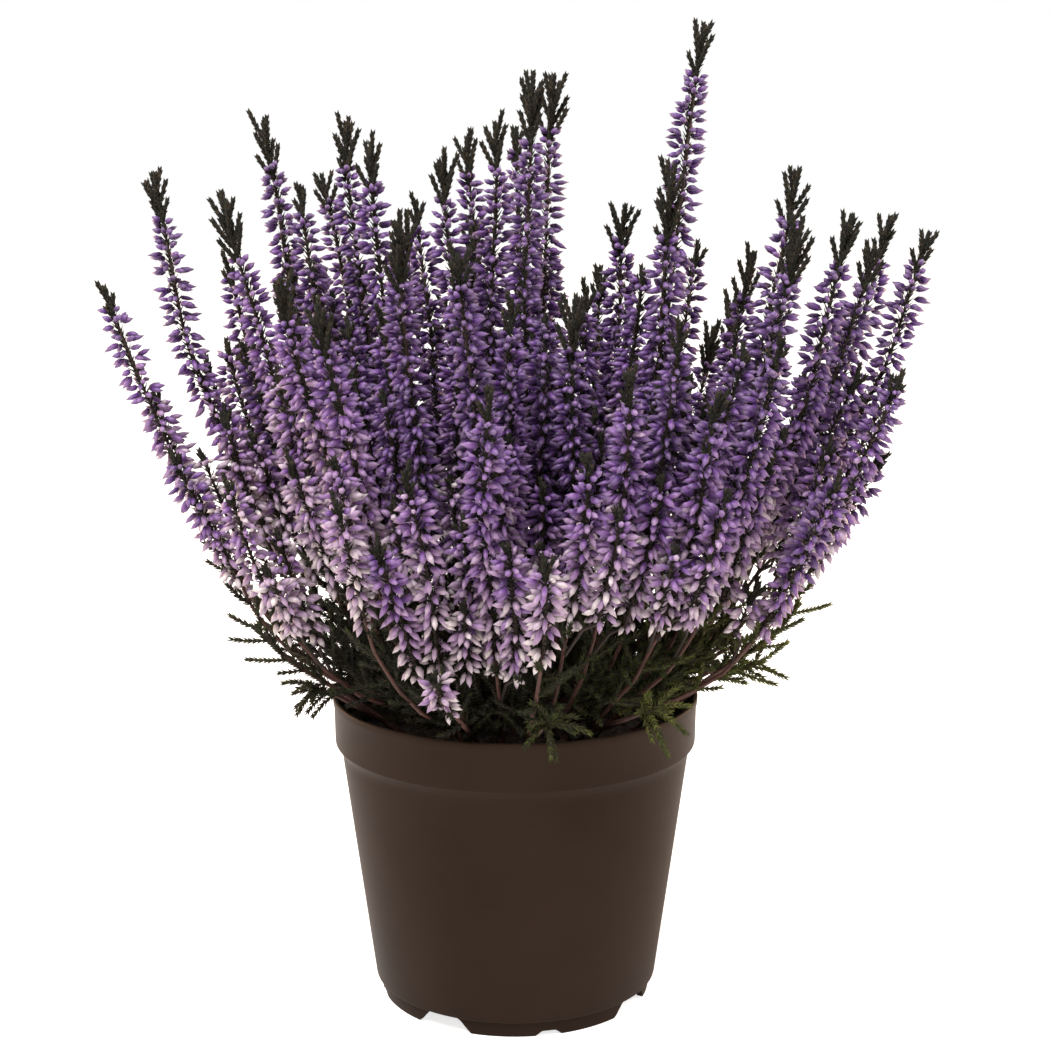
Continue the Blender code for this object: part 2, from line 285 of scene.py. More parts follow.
# %% Lean the spikes and lift their flowers: (place across, millimetres above the listed foot)
BLOOM_LIFT = (
    (-0.75, 2),
    (-0.58, 8),
    (-0.46, 22),
    (-0.32, 20),
    (-0.24, 3),
    (-0.10, 6),
    (0.06, 12),
    (0.20, 22),
    (0.50, 16),
    (0.70, 4),
    (0.90, -2),
)
MOST_LEAN = 7.0


def lean_and_lift(spikes):
    """Leans each typed spike back over its own place, and says where its flowers really begin."""
    listed = [(x, y) for x, y, *_ in OUTLINE_SPIKES] + [(x, y) for x, y, _ in LEAFY_SHOOTS]
    for i, s in enumerate(spikes):
        s["lean"] = np.zeros(2)
        if i < len(listed):
            now = np.array((s["u"], s["v"])) * spread(s["top"])
            s["lean"] = np.clip(np.array(listed[i]) - now, -MOST_LEAN, MOST_LEAN)
        lift = float(np.interp(s["u"], *zip(*BLOOM_LIFT)))
        front_share = min(1.0, max(0.2, 0.5 - s["v"]))
        s["bloom"] = s["foot"] + lift * front_share


lean_and_lift(spikes)
print("largest lean:", round(max(float(np.hypot(*s["lean"])) for s in spikes), 1), "mm")

# %% [markdown]
# The frame has a forked stem for every two spikes. We pair them as it does: each spike takes its
# nearest free neighbour, and the outer ones choose first, because they have the fewest.


# %% Pair the spikes into forked stems
def paired(spikes):
    """Stems: each spike with its nearest free neighbour, worked from the rim of the bush inwards."""
    order = sorted(range(len(spikes)), key=lambda i: -from_middle(spikes[i]))
    free = set(order)
    stems = []
    for i in order:
        if i not in free:
            continue
        free.remove(i)
        a = spikes[i]
        if not free:
            stems.append([a])
            continue
        near = min(free, key=lambda j: math.hypot(a["u"] - spikes[j]["u"], a["v"] - spikes[j]["v"]))
        free.remove(near)
        stems.append(sorted((a, spikes[near]), key=from_middle))
    return stems


stems = paired(spikes)
print("stems:", len(stems))

# %% [markdown]
# A real spike is a little tree: shorter flowering sprigs leave it low down and fill the room between
# it and its neighbours. Each spike looks around for its widest gap and sends a sprig there, which
# then follows the same flow, so it crosses nothing.

# %% Sprigs in the gaps
SPRIG_REACH = 0.095
SPRIG_ROOM = 0.066
SPRIG_SHARES = (0.72, 0.52)
SPRIG_DIRECTIONS = 16
SPRIG_SEED = 11
SHORTEST_BRANCHED = 45.0


def add_sprigs(spikes):
    """Gives each flowering spike up to two shorter sprigs, in the widest gaps beside it."""
    draw = np.random.default_rng(SPRIG_SEED)
    taken = [(s["u"], s["v"]) for s in spikes]
    turns = np.arange(SPRIG_DIRECTIONS) * 2 * math.pi / SPRIG_DIRECTIONS
    for spike in spikes:
        spike["sprigs"] = []
    for usual_share in SPRIG_SHARES:
        for spike in spikes:
            tall = spike["top"] - spike["tip"] - spike["bloom"]
            if spike["tip"] == 0 or tall < SHORTEST_BRANCHED:
                continue
            u = spike["u"] + SPRIG_REACH * np.cos(turns)
            v = spike["v"] + SPRIG_REACH * np.sin(turns)
            room = np.array([min(math.hypot(a - b, c - d) for b, d in taken) for a, c in zip(u, v)])
            room[np.hypot(u, v) > 1.0] = 0.0
            best = int(np.argmax(room))
            if room[best] < SPRIG_ROOM:
                continue
            share = usual_share + 0.26 * (draw.random() - 0.5)
            foot = spike["bloom"] + 10.0 * (draw.random() - 0.3)
            top = spike["bloom"] + share * tall
            taken.append((u[best], v[best]))
            tip = 2.0 + 3.0 * draw.random()
            place = dict(u=float(u[best]), v=float(v[best]), lean=spike["lean"] * share)
            spike["sprigs"].append(dict(place, top=top, foot=foot, tip=tip))


add_sprigs(spikes)
print("sprigs:", sum(len(s["sprigs"]) for s in spikes))

# %% [markdown]
# Now the flow itself. Low down every stem has to pass inside the pot's rim, so a place outside the
# disc is drawn in there, and is let out again just above the rim.

# %% The axis of a spike
RIM_CLEARED = 105.0
RIM_EASE = 13.0


def at(spike, height):
    """The point of a spike's axis at a height, in millimetres."""
    reach = from_middle(spike)
    ease = min(1.0, max(0.0, (height - RIM_CLEARED) / RIM_EASE))
    kept = min(reach, 1.0) + ease * max(0.0, reach - 1.0)
    scale = kept / max(reach, 1e-6) * spread(height)
    return np.array((spike["u"] * scale, spike["v"] * scale, height))


tallest = max(spikes, key=lambda s: s["top"])
print("tip of the tallest spike:", at(tallest, tallest["top"]).round(1))

# %% [markdown]
# ## Small meshes that repeat
# A heather carries thousands of buds and needles. Instances or hair would be light, but they don't
# travel to other programs, so each stem becomes one real mesh. We draw a bud and a needle once as
# small arrays of points, and stamp them with matrix arithmetic, which is quick even for thousands.


# %% Templates
def awl(sides):
    """A needle: a slim cone from a ring at 0, which sinks into its twig, to a point at 1."""
    turns = [2 * math.pi * k / sides for k in range(sides)]
    points = [(math.cos(t), math.sin(t), 0.0) for t in turns] + [(0.0, 0.0, 1.0)]
    return np.array(points), np.array([(k, (k + 1) % sides, sides) for k in range(sides)])


def spindle(sides, rings):
    """A pointed spindle from 0 to 1 on Z. rings holds (height, radius) between its two points."""
    points = [(0.0, 0.0, 0.0)]
    for z, r in rings:
        for k in range(sides):
            turn = 2 * math.pi * k / sides
            points.append((r * math.cos(turn), r * math.sin(turn), z))
    points.append((0.0, 0.0, 1.0))
    faces = []
    last = len(points) - 1
    for k in range(sides):
        step = (k + 1) % sides
        faces.append((0, 1 + step, 1 + k))
        for ring in range(len(rings) - 1):
            low, high = 1 + ring * sides, 1 + (ring + 1) * sides
            faces.append((low + k, low + step, high + step))
            faces.append((low + k, high + step, high + k))
        top = 1 + (len(rings) - 1) * sides
        faces.append((top + k, top + step, last))
    return np.array(points), np.array(faces)


BUD = spindle(5, ((0.25, 0.90), (0.62, 0.88)))
NEEDLE = awl(3)
print("triangles in a bud and in a needle:", len(BUD[1]), len(NEEDLE[1]))

# %% [markdown]
# A `Growth` gathers everything that one stem grows: points, triangles, the look of each triangle,
# and two numbers a point that the materials read. The tint says how pale a bud is, how green a
# needle, how red the bark. The other number runs along a bud or a twig, from its root to its end.

# %% Directions around a path
WOOD, LEAF, TIP, BUDS = range(4)


def unit(rows):
    """Each row as a direction of length 1."""
    return rows / np.linalg.norm(rows, axis=1, keepdims=True)


def square_to(aims):
    """Two directions for each aim, square to it and to each other."""
    helper = np.where(np.abs(aims[:, 2:3]) < 0.9, (0.0, 0.0, 1.0), (1.0, 0.0, 0.0))
    side = unit(np.cross(helper, aims))
    return side, np.cross(aims, side)


print("looks on a stem:", dict(wood=WOOD, leaf=LEAF, tip=TIP, buds=BUDS))


# %% Gather, stamp and sweep
class Growth:
    """The points and triangles of one piece, in millimetres, as they gather."""

    def __init__(self):
        self.points, self.faces, self.looks, self.tints, self.alongs = [], [], [], [], []
        self.count = 0

    def add(self, points, faces, look, tint, along):
        self.points.append(points)
        self.faces.append(faces + self.count)
        self.looks.append(np.full(len(faces), look))
        self.tints.append(tint)
        self.alongs.append(along)
        self.count += len(points)

    def stamp(self, template, roots, aims, lengths, widths, look, tints):
        """Copies the template to every root, aimed and sized. All are arrays of one length."""
        base, faces = template
        aims = unit(aims)
        side, other = square_to(aims)
        placed = (
            roots[:, None]
            + base[None, :, 0:1] * widths[:, None, None] * side[:, None]
            + base[None, :, 1:2] * widths[:, None, None] * other[:, None]
            + base[None, :, 2:3] * lengths[:, None, None] * aims[:, None]
        )
        many = faces[None] + (np.arange(len(roots)) * len(base))[:, None, None]
        along = np.tile(base[:, 2], len(roots))
        self.add(placed.reshape(-1, 3), many.reshape(-1, 3), look, np.repeat(tints, len(base)), along)

    def sweep(self, path, radii, sides, look, tint):
        """A round twig along a path of points, closed to a point at its far end."""
        path = np.asarray(path)
        run = unit(np.gradient(path, axis=0))
        side, other = square_to(run)
        turns = (2 * math.pi * np.arange(sides) / sides)[None, :, None]
        ring = np.cos(turns) * side[:, None] + np.sin(turns) * other[:, None]
        points = (path[:, None] + ring * np.asarray(radii)[:, None, None]).reshape(-1, 3)
        points = np.vstack((points, path[-1] + run[-1] * radii[-1] * 1.5))
        faces = []
        for i in range(len(path) - 1):
            for k in range(sides):
                a, b = i * sides + k, i * sides + (k + 1) % sides
                faces += [(a, b, b + sides), (a, b + sides, a + sides)]
        last = (len(path) - 1) * sides
        faces += [(last + k, last + (k + 1) % sides, len(points) - 1) for k in range(sides)]
        along = np.append(np.repeat(np.linspace(0, 1, len(path)), sides), 1.0)
        each = np.broadcast_to(tint, len(path))
        tints = np.append(np.repeat(each, sides), each[-1])
        self.add(points, np.array(faces), look, tints, along)

    def mesh(self, name):
        """One smooth mesh in metres, with the two numbers stored on its points."""
        mesh = bpy.data.meshes.new(name)
        mesh.from_pydata(np.vstack(self.points) * MM, [], np.vstack(self.faces))
        mesh.polygons.foreach_set("material_index", np.concatenate(self.looks).astype(np.int32))
        mesh.polygons.foreach_set("use_smooth", np.ones(len(mesh.polygons), dtype=bool))
        for layer, values in (("tint", self.tints), ("along", self.alongs)):
            stored = mesh.attributes.new(layer, "FLOAT", "POINT")
            stored.data.foreach_set("value", np.concatenate(values).astype(np.float32))
        return mesh


print("points in an empty growth:", Growth().count)

# %% [markdown]
# ## Colours of the plant
# The flowers are buds that never open. They are deep violet near the top of a spike, lilac in the
# middle and nearly white at its foot. Each bud has painted shade where it meets its stalk and a
# painted highlight at its end. A picture could paint that, but colour ramps do it without one: the
# tint picks the first change, the place along the bud the second, and a fine noise keeps any two buds
# from being the same.


# %% Start a material
def start_material(name, roughness):
    """A new material, its node tree, and its shader."""
    made = bpy.data.materials.new(name)
    made.use_nodes = True
    tree = made.node_tree
    shader = tree.nodes["Principled BSDF"]
    shader.inputs["Roughness"].default_value = roughness
    return made, tree, shader


def layer(tree, name):
    """The value that the mesh stores under a name."""
    node = tree.nodes.new("ShaderNodeAttribute")
    node.attribute_name = name
    return node.outputs["Fac"]


def noise_at(tree, waves, detail=3.0):
    """Noise in object coordinates, with so many waves a metre."""
    place = tree.nodes.new("ShaderNodeTexCoord")
    node = tree.nodes.new("ShaderNodeTexNoise")
    node.inputs["Scale"].default_value = waves
    node.inputs["Detail"].default_value = detail
    tree.links.new(place.outputs["Object"], node.inputs["Vector"])
    return node.outputs["Fac"]


print("waves of noise across a bud 2 mm wide:", 900.0 * 0.002)


# %% Sums, ramps and mixes
def feed(tree, socket, value):
    """Gives a socket a number, a colour (r, g, b), or a link from another socket."""
    if isinstance(value, tuple):
        socket.default_value = (*value, 1)
    elif isinstance(value, (int, float)):
        socket.default_value = value
    else:
        tree.links.new(value, socket)


def maths(tree, operation, a, b):
    """One sum of two numbers or sockets."""
    node = tree.nodes.new("ShaderNodeMath")
    node.operation = operation
    feed(tree, node.inputs[0], a)
    feed(tree, node.inputs[1], b)
    return node.outputs[0]


def swung_tint(tree, grain, swing):
    """The stored tint, swung up and down by noise."""
    wander = maths(tree, "MULTIPLY", maths(tree, "SUBTRACT", grain, 0.5), swing)
    return maths(tree, "ADD", layer(tree, "tint"), wander)


def ramp(tree, factor, stops):
    """A colour ramp fed by a factor. stops holds (place, (r, g, b))."""
    node = tree.nodes.new("ShaderNodeValToRGB")
    ends = node.color_ramp.elements
    for end, (place, colour) in zip(ends, (stops[0], stops[-1])):
        end.position = place
        end.color = (*colour, 1)
    for place, colour in stops[1:-1]:
        ends.new(place).color = (*colour, 1)
    tree.links.new(factor, node.inputs["Fac"])
    return node.outputs["Color"]


def mixed(tree, factor, a, b, how="MIX"):
    """Mixes two colours, each a socket or an (r, g, b)."""
    node = tree.nodes.new("ShaderNodeMix")
    node.data_type = "RGBA"
    node.blend_type = how
    for socket, value in ((node.inputs[0], factor), (node.inputs[6], a), (node.inputs[7], b)):
        feed(tree, socket, value)
    return node.outputs[2]


def bumped(tree, shader, height, distance, strength):
    """Fine relief from a height, at most a distance in metres."""
    node = tree.nodes.new("ShaderNodeBump")
    node.inputs["Distance"].default_value = distance
    node.inputs["Strength"].default_value = strength
    tree.links.new(height, node.inputs["Height"])
    tree.links.new(node.outputs["Normal"], shader.inputs["Normal"])


print("material helpers ready")

# %% Buds
BUD_COLOURS = (
    (0.0, (0.060, 0.010, 0.130)),
    (0.22, (0.112, 0.025, 0.225)),
    (0.45, (0.190, 0.068, 0.290)),
    (0.7, (0.380, 0.240, 0.400)),
    (1.0, (0.690, 0.620, 0.610)),
)
# Painted shade at the root of each bud, where it meets its stalk, and a painted highlight that pales its
# end.
ROOT_SHADE = ((0.0, (0.20, 0.18, 0.16)), (0.28, (0.70, 0.66, 0.74)), (0.6, (1.0, 1.0, 1.0)))
BUD_END_HIGHLIGHT_SHARE = ((0.35, (0.0, 0.0, 0.0)), (1.0, (0.2, 0.2, 0.2)))
BUD_END_HIGHLIGHT_COLOUR = (0.80, 0.68, 0.80)


def bud_material():
    """Violet to nearly white by the tint, painted shade at each bud's root and a painted highlight at its
    end.
    """
    made, tree, shader = start_material("heather_bud", 0.4)
    petal = ramp(tree, swung_tint(tree, noise_at(tree, 900.0), 0.35), BUD_COLOURS)
    along = layer(tree, "along")
    # Painted shade darkens each bud's root, then a painted highlight pales its end.
    shaded = mixed(tree, 1.0, petal, ramp(tree, along, ROOT_SHADE), "MULTIPLY")
    with_highlight = mixed(tree, ramp(tree, along, BUD_END_HIGHLIGHT_SHARE), shaded, BUD_END_HIGHLIGHT_COLOUR)
    tree.links.new(with_highlight, shader.inputs["Base Color"])
    shader.inputs["Sheen Weight"].default_value = 0.15
    shader.inputs["Specular IOR Level"].default_value = 0.5
    bumped(tree, shader, noise_at(tree, 1800.0), 0.0003, 0.6)
    return made


print("colours from violet to pale:", len(BUD_COLOURS))

# %% [markdown]
# Needles run from dark olive to fresh green, and the tips of the spikes are nearly black, with warm
# edges. Both are leaves, so one function makes both. The bark is reddish where it is young. Its
# grain is one noise that serves the colour and the bump, so that the dark places are also the deep
# ones: partly the bark's own dark fissures, partly painted shade in them.

# %% Needles, dark tips and bark
NEEDLE_COLOURS = (
    (0.0, (0.005, 0.005, 0.003)),
    (0.45, (0.022, 0.026, 0.009)),
    (0.8, (0.066, 0.080, 0.015)),
    (1.0, (0.13, 0.14, 0.03)),
)
TIP_COLOURS = (
    (0.0, (0.006, 0.006, 0.005)),
    (0.5, (0.019, 0.018, 0.013)),
    (1.0, (0.060, 0.042, 0.026)),
)
BARK_COLOURS = (
    (0.0, (0.012, 0.010, 0.006)),
    (0.5, (0.038, 0.017, 0.012)),
    (1.0, (0.110, 0.038, 0.030)),
)


def leaf_material(name, roughness, specular, waves, swing, colours):
    """Leaves of one colour ramp. waves and swing say how the noise changes their tint."""
    made, tree, shader = start_material(name, roughness)
    green = ramp(tree, swung_tint(tree, noise_at(tree, waves), swing), colours)
    tree.links.new(green, shader.inputs["Base Color"])
    shader.inputs["Specular IOR Level"].default_value = specular
    bumped(tree, shader, noise_at(tree, 2500.0), 0.0002, 0.5)
    return made


def bark_material():
    """Rough bark, reddish by the tint."""
    made, tree, shader = start_material("heather_bark", 0.75)
    grain = noise_at(tree, 700.0, 5.0)
    # The dark end of the ramp falls in the grooves of the bump: partly the bark's own colour, partly
    # painted shade.
    bark = ramp(tree, swung_tint(tree, grain, 0.8), BARK_COLOURS)
    tree.links.new(bark, shader.inputs["Base Color"])
    bumped(tree, shader, grain, 0.0006, 0.8)
    return made


PLANT_LOOKS = (
    bark_material(),
    leaf_material("heather_needle", 0.6, 0.2, 260.0, 0.7, NEEDLE_COLOURS),
    leaf_material("heather_dark_tip", 0.8, 0.15, 400.0, 0.9, TIP_COLOURS),
    bud_material(),
)
print("plant materials:", [m.name for m in PLANT_LOOKS])

# %% [markdown]
# ## Growing a stem
# Everything on a stem needs its direction. We sample the axis every 3 millimetres, add a slight
# wander, and keep two directions square to it, so that "outwards at this angle" has a meaning.

# %% Axes that wander, in millimetres
AXIS_STEP = 3.0
WANDER = 1.1
WANDER_GROWS_OVER = 25.0


def spike_axis(spike, low, high, draw):
    """Points up a spike. It wanders slightly, but not at its foot, and leans more and more."""
    count = max(3, int((high - low) / AXIS_STEP) + 1)
    heights = np.linspace(low, high, count)
    rise = heights - low
    path = np.array([at(spike, z) for z in heights])
    phase = draw.random(4) * 2 * math.pi
    wave = np.sin(rise / 23.0 + phase[0]) + 0.6 * np.sin(rise / 11.0 + phase[1])
    swing = np.sin(rise / 27.0 + phase[2]) + 0.6 * np.sin(rise / 12.0 + phase[3])
    fade = np.clip(rise / WANDER_GROWS_OVER, 0, 1)
    path[:, 0] += WANDER * wave * fade
    path[:, 1] += WANDER * swing * fade
    path[:, :2] += spike["lean"] * np.clip(rise[:, None] / (high - low), 0, 1) ** 1.5
    return path


def frames(path):
    """Run, side and other side at each point of a path."""
    run = unit(np.gradient(path, axis=0))
    side = unit(np.cross(run, (0.0, 1.0, 0.0)))
    return run, side, np.cross(run, side)


def along_path(path, places):
    """Points at places from 0 to 1 along a path, by length, and the path's whole length."""
    steps = np.linalg.norm(np.diff(path, axis=0), axis=1)
    reach = np.concatenate(((0.0,), np.cumsum(steps)))
    spots = np.asarray(places) * reach[-1]
    return np.stack([np.interp(spots, reach, path[:, k]) for k in range(3)], axis=1), reach[-1]


def outwards(turns, side, other):
    """Directions square to a path. turns holds a row of angles for each point of the path."""
    return np.cos(turns)[..., None] * side[:, None] + np.sin(turns)[..., None] * other[:, None]


def side_path(root, run, out, length, lean_deg, lift):
    """A short curved path that leaves a stem at an angle and turns up towards its end."""
    t = np.linspace(0, 1, 6)[:, None]
    lean = math.radians(lean_deg)
    start = math.cos(lean) * run + math.sin(lean) * out
    return root + start * t * length + np.array((0, 0, 1.0)) * lift * length * t**2


print("waves up a spike:", round((300 - 110) / (2 * math.pi * 23.0), 1))

# %% [markdown]
# A shoot is a twig with rings of needles, each ring turned half a step from the one below. The same
# function makes green side shoots, the leaves between the buds and the dark forked tips. Only the
# kind of needle changes.

# %% Kinds of needles: how many in a ring, length, half width, angle away from the twig, look
NEEDLES = dict(ring=4, length=2.2, half_width=0.42, lean_deg=38, look=LEAF)
FLOWER_NEEDLES = dict(ring=4, length=3.0, half_width=0.36, lean_deg=50, look=LEAF)
SCALE_LEAVES = dict(ring=3, length=1.5, half_width=0.60, lean_deg=34, look=TIP)
print("needles in a ring:", NEEDLES["ring"], FLOWER_NEEDLES["ring"], SCALE_LEAVES["ring"])


# %% A shoot clothed in needles
def needle_shoot(growth, path, kind, gap, tint, draw, twig=0.35):
    """Needles of one kind along a path, in rings a gap apart, on a twig of that radius."""
    path = np.asarray(path)
    whole = np.linalg.norm(np.diff(path, axis=0), axis=1).sum()
    rows, ring = max(2, int(whole / gap)), kind["ring"]
    spots, _ = along_path(path, np.linspace(0.08, 1.0, rows))
    run, side, other = frames(spots)
    turns = (
        np.arange(rows)[:, None] * math.pi / ring
        + 2 * math.pi * np.arange(ring)[None] / ring
        + draw.normal(0, 0.15, (rows, ring))
    )
    out = outwards(turns, side, other)
    closing = 1.0 - 0.45 * np.linspace(0, 1, rows) ** 3
    lean = np.radians(kind["lean_deg"]) * closing[:, None, None]
    aims = (np.cos(lean) * run[:, None] + np.sin(lean) * out).reshape(-1, 3)
    roots = (spots[:, None] + out * twig * 0.5).reshape(-1, 3)
    lengths = kind["length"] * (0.85 + 0.3 * draw.random(len(aims)))
    tints = np.clip(tint + draw.normal(0, 0.12, len(aims)), 0, 1)
    half_widths = np.full(len(aims), kind["half_width"])
    growth.stamp(NEEDLE, roots, aims, lengths, half_widths, kind["look"], tints)
    bones, _ = along_path(path, np.linspace(0, 1, 4))
    growth.sweep(bones, np.full(4, twig), 4, TIP if kind["look"] == TIP else WOOD, 0.35)


trial = Growth()
needle_shoot(trial, [(0, 0, z) for z in range(11)], NEEDLES, 1.25, 0.5, np.random.default_rng(0))
print("triangles in a shoot of 10 mm:", sum(len(faces) for faces in trial.faces))

# %% [markdown]
# Heather buds sit in opposite pairs of short clusters, each pair turned a quarter from the one below,
# and they hang more the older they are. So the foot of a spike droops and is pale and a little bare,
# and its top stands up, violet and full. Three short tables say how that changes up the spike.

# %% Buds: sizes in millimetres, and how they change up a spike
WHORL = 2.6
BUD_TURNS = (-0.62, 0.0, 0.62, math.pi - 0.62, math.pi, math.pi + 0.62)
BUD_LENGTH = 4.7
BUD_HALF_WIDTH = 1.0
BUD_ROOT = 1.5
BUD_DROOP_DEG = ((0.0, 0.35, 0.8, 1.0), (-58.0, -32.0, -6.0, 24.0))
BUD_TAPER = ((0.0, 0.12, 0.5, 0.88, 1.0), (0.75, 1.0, 1.06, 1.12, 0.65))
BUDS_KEPT = ((0, 0.35, 0.7, 1), (0.50, 0.78, 0.95, 0.97))
print("a spike is about", 2 * (BUD_ROOT + BUD_LENGTH), "mm wide")


# %% Buds up a spike
def paleness_of_buds(height, pale_reach, draw):
    """How pale each bud is, from 1 at the spike's foot to about 0 above the pale reach."""
    pale_reach = pale_reach * (0.5 + 1.05 * draw.random())
    shape = (len(height), len(BUD_TURNS))
    pale = 1.0 - height / pale_reach + 0.13 * draw.normal(0, 1, shape)
    # Some buds get a random extra paleness: partly real variation between buds, partly painted
    # highlights.
    return np.clip(pale, 0.0, 1.0) * 0.82 + 0.34 * draw.random(shape) ** 2


def bud_spike(growth, path, pale_reach, draw):
    """Rings of hanging buds along a path, pale at the foot and violet above."""
    _, whole = along_path(path, (0.0,))
    rows = max(3, int(whole / WHORL))
    shape = (rows, len(BUD_TURNS))
    places = np.clip((np.arange(rows) + 0.5) / rows + draw.normal(0, 0.12, rows) / rows, 0, 1)
    spots, _ = along_path(path, places)
    evenly, _ = along_path(path, np.linspace(0, 1, rows))
    run, side, other = frames(evenly)
    turns = np.arange(rows)[:, None] * (math.pi / 2 + 0.03) + 6.3 * draw.random()
    turns = turns + np.array(BUD_TURNS) + draw.normal(0, 0.22, shape)
    out = outwards(turns, side, other)
    droop = np.interp(places, *BUD_DROOP_DEG)[:, None] + draw.normal(0, 15.0, shape)
    droop = np.radians(droop)[..., None]
    aims = np.cos(droop) * out + np.sin(droop) * run[:, None]
    taper = np.interp(places, *BUD_TAPER)[:, None]
    root = BUD_ROOT * taper * (1.0 + 0.15 * draw.normal(0, 1, shape))
    shift = draw.normal(0, 0.5, shape)[..., None]
    roots = spots[:, None] + out * root[..., None] + run[:, None] * (shift + 0.8)
    lengths = BUD_LENGTH * taper * (0.80 + 0.35 * draw.random(shape))
    pale = paleness_of_buds((places * whole)[:, None], pale_reach, draw)
    keep = (draw.random(shape) < np.interp(places, *BUDS_KEPT)[:, None]).ravel()
    half_widths = np.full(keep.sum(), BUD_HALF_WIDTH) * (0.80 + 0.35 * draw.random(keep.sum()))
    roots, aims = roots.reshape(-1, 3)[keep], aims.reshape(-1, 3)[keep]
    growth.stamp(BUD, roots, aims, lengths.ravel()[keep], half_widths, BUDS, pale.ravel()[keep])


print("whorls on a spike of 100 mm:", int(100 / WHORL))

# %% [markdown]
# At the top of a spike the buds haven't formed yet: there is a dark leader with short twigs close
# around it, all beaded with scale leaves. Low down the same pattern opens out into green side
# shoots. Both turn by about the golden angle, so no shoot stands right above another.

# %% Dark tips and leafy feet
GOLDEN_TURN = 2.4
TIP_GAP = 1.0
TIP_TWIG_EVERY = 1.9
LONGEST_TIP_TWIG = 9.0


def dark_tip(growth, path, draw):
    """The unopened end of a spike: a leader among short upright twigs."""
    needle_shoot(growth, path, SCALE_LEAVES, TIP_GAP, 0.45, draw, 0.7)
    _, whole = along_path(path, (0.0,))
    twigs = int(whole / TIP_TWIG_EVERY)
    spots, _ = along_path(path, np.linspace(0.0, 0.64, max(twigs, 2)))
    run, side, other = frames(spots)
    for i in range(twigs):
        turn = i * GOLDEN_TURN + draw.normal(0, 0.3)
        out = math.cos(turn) * side[i] + math.sin(turn) * other[i]
        length = min(LONGEST_TIP_TWIG, 0.42 * whole + 1.5) * (0.6 + 0.5 * draw.random())
        twig = side_path(spots[i], run[i], out, length, 22 + 14 * draw.random(), 0.2)
        needle_shoot(growth, twig, SCALE_LEAVES, TIP_GAP, 0.5, draw, 0.6)


def leafy_foot(growth, path, count, length, green, lift, draw):
    """Green side shoots along the lower part of a stem. A lift below nothing lets them hang."""
    spots, _ = along_path(path, np.linspace(0.1, 1.0, count))
    run, side, other = frames(spots)
    for i in range(count):
        turn = i * GOLDEN_TURN + draw.normal(0, 0.4)
        out = math.cos(turn) * side[i] + math.sin(turn) * other[i]
        reach = length * (0.65 + 0.6 * draw.random())
        twig = side_path(spots[i], run[i], out, reach, 38 + 16 * draw.random(), lift)
        needle_shoot(growth, twig, NEEDLES, 1.25, green, draw)


print("golden turn:", round(math.degrees(GOLDEN_TURN), 1), "degrees")

# %% [markdown]
# A bush isn't the same all round. On this one the leaves are darker on the left and fresher on the
# right, and the buds stay pale further up on the left. Two small functions of the place say so, and
# everything that grows there asks them.


# %% Colours by place
def greenness(place):
    """Leaves are dark olive on the left and in the middle, and fresh green on the right."""
    fresh = 0.45 * float(np.clip(place["u"], -0.1, 1))
    return 0.26 + fresh + 0.10 * float(np.clip(-place["v"], 0, 1))


def paleness(place):
    """How far up a spike its buds stay pale, in millimetres. It is more on the left."""
    return float(np.interp(place["u"], (-0.8, -0.2, 0.1, 0.9), (76.0, 74.0, 50.0, 46.0)))


for u in (-0.8, 0.0, 0.8):
    print("at", u, "green", round(greenness(dict(u=u, v=-0.5)), 2), "pale for", paleness(dict(u=u)), "mm")

# %% [markdown]
# Now a whole stem. It starts in its hole in the soil, forks just above it and carries bare wood, a
# leafy stretch, flowers and a dark tip. Low branches with leaves alone fill the dark room under the
# flowers. Where a spike grows must not change, because the frame's stem is its solid body.

# %% Heights on a stem, in millimetres
STEM_FOOT = 79.35
SOIL_LINE = 92.0
FORK_HEIGHT = 97.0
BARE_UP_TO = 110.0
LAST_NEEDLES = 3.8
SHORTEST_FLOWERS = 12.0
GREEN_SIDE_SHOOTS = 8
LEAFY_BRANCH_ROOM = 0.085
print("a stem stands", round(SOIL_LINE - STEM_FOOT, 1), "mm deep in the soil")


# %% Flowers and low branches
def grow_flowers(growth, axis, flower_foot, flower_top, pale_reach, draw):
    """Buds, the leaves between them and the dark tip, along an axis that ends at the spike's tip."""
    flowers = axis[(axis[:, 2] >= flower_foot - 2.0) & (axis[:, 2] <= flower_top + 2.0)]
    needle_shoot(growth, flowers, FLOWER_NEEDLES, 1.7, 0.10, draw, 0.45)
    bud_spike(growth, flowers, pale_reach, draw)
    dark_tip(growth, axis[axis[:, 2] > flower_top - 3.0], draw)


def grow_leafy_branch(growth, spike, trunk, draw):
    """A low branch beside a spike, with leaves alone. The further out it is, the more it sags."""
    turn = 2 * math.pi * draw.random()
    u = spike["u"] + LEAFY_BRANCH_ROOM * math.cos(turn)
    v = spike["v"] + LEAFY_BRANCH_ROOM * math.sin(turn)
    inwards = min(1.0, 0.82 / math.hypot(u, v))
    place = dict(u=u * inwards, v=v * inwards)
    top = 118.0 + 26.0 * draw.random()
    path = np.array([at(trunk, FORK_HEIGHT + 1.0)] + [at(place, z) for z in np.linspace(105.0, top, 7)])
    path[:, 2] -= 9.0 * from_middle(place) ** 2 * np.linspace(0, 1, 8) ** 2
    green = greenness(place) - 0.05
    leafy_foot(growth, path[1:], 6, 10.0, green, 0.15, draw)
    needle_shoot(growth, path, NEEDLES, 1.3, green, draw, 0.5)


